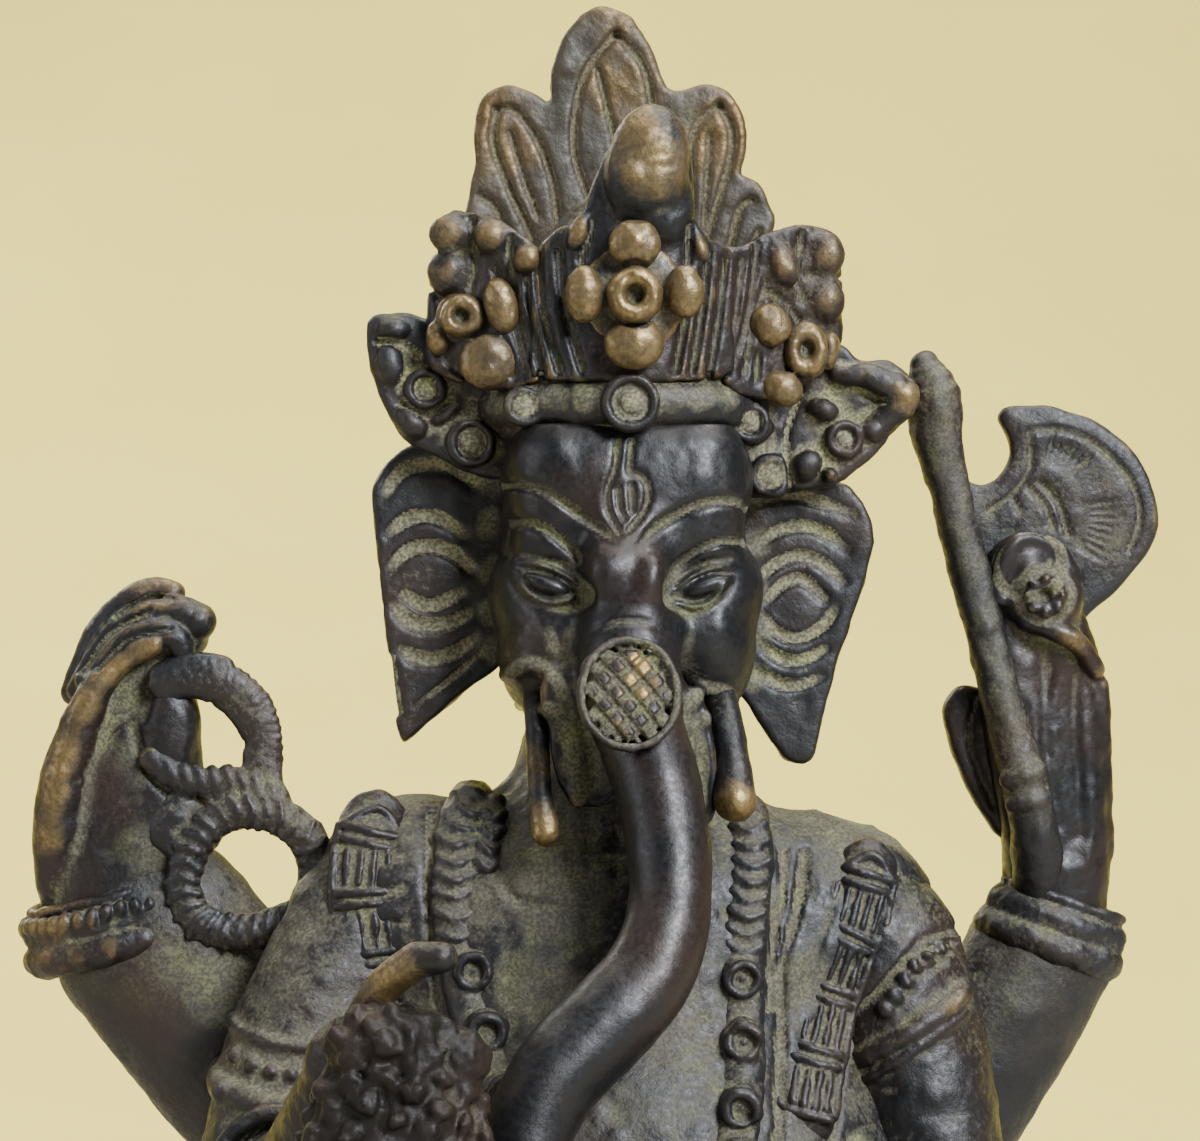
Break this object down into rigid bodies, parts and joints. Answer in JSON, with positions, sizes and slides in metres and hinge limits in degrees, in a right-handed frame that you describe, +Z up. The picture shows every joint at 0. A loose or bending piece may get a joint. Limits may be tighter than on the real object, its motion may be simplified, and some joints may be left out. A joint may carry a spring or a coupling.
{
  "type": "ganesha idol",
  "caption": "Seated elephant-headed deity figure in cast bronze, with a leafed crown, noose, axe and sweets, on a lotus pedestal, for a shrine or shelf.",
  "frame": {"origin": "centre of the pedestal's resting face", "axes": "+Z up; the figure faces -Y; +X is the right-hand side of someone looking at its face"},
  "size_m": [0.1144, 0.0804, 0.1814],
  "materials": {
    "dark_bronze": "dark brown-black patina with khaki dust in the recesses",
    "worn_bronze": "the same patina rubbed through to golden bronze on high spots",
    "copper_fitting": "dull oxidised copper sheet and pin"
  },
  "bodies": {
    "root": {"pedestal": "dark_bronze", "base_plate": "copper_fitting", "plate_pin_1": "copper_fitting", "plate_pin_2": "copper_fitting", "plate_pin_3": "copper_fitting", "plate_pin_4": "copper_fitting", "body": "dark_bronze", "lug_pin_left": "copper_fitting", "lug_pin_right": "copper_fitting", "head": "dark_bronze", "trunk": "dark_bronze", "trunk_medallion": "worn_bronze", "ear_left": "dark_bronze", "ear_right": "dark_bronze", "tusk_left": "worn_bronze", "tusk_right_broken": "worn_bronze", "crown_band": "dark_bronze", "crown_leaf_centre": "worn_bronze", "crown_flower_centre": "worn_bronze", "crown_plume": "dark_bronze", "crown_leaf_left": "dark_bronze", "crown_flower_left": "worn_bronze", "crown_leaf_right": "dark_bronze", "crown_flower_right": "worn_bronze", "crown_ribbon_left": "dark_bronze", "crown_ribbon_right": "dark_bronze", "rear_upper_arm_left": "dark_bronze", "rear_forearm_left": "dark_bronze", "armlet_left": "worn_bronze", "front_upper_arm_left": "dark_bronze", "rear_upper_arm_right": "dark_bronze", "rear_forearm_right": "dark_bronze", "armlet_right": "worn_bronze", "front_upper_arm_right": "dark_bronze", "front_forearm_left": "dark_bronze", "front_forearm_right": "dark_bronze", "noose": "dark_bronze", "axe_haft": "dark_bronze", "axe_blade": "dark_bronze", "scarf_end": "dark_bronze", "sweets": "dark_bronze", "held_tusk": "worn_bronze", "garland": "dark_bronze", "shoulder_scarf_left": "dark_bronze", "shoulder_scarf_right": "dark_bronze"}
  },
  "joints": []
}
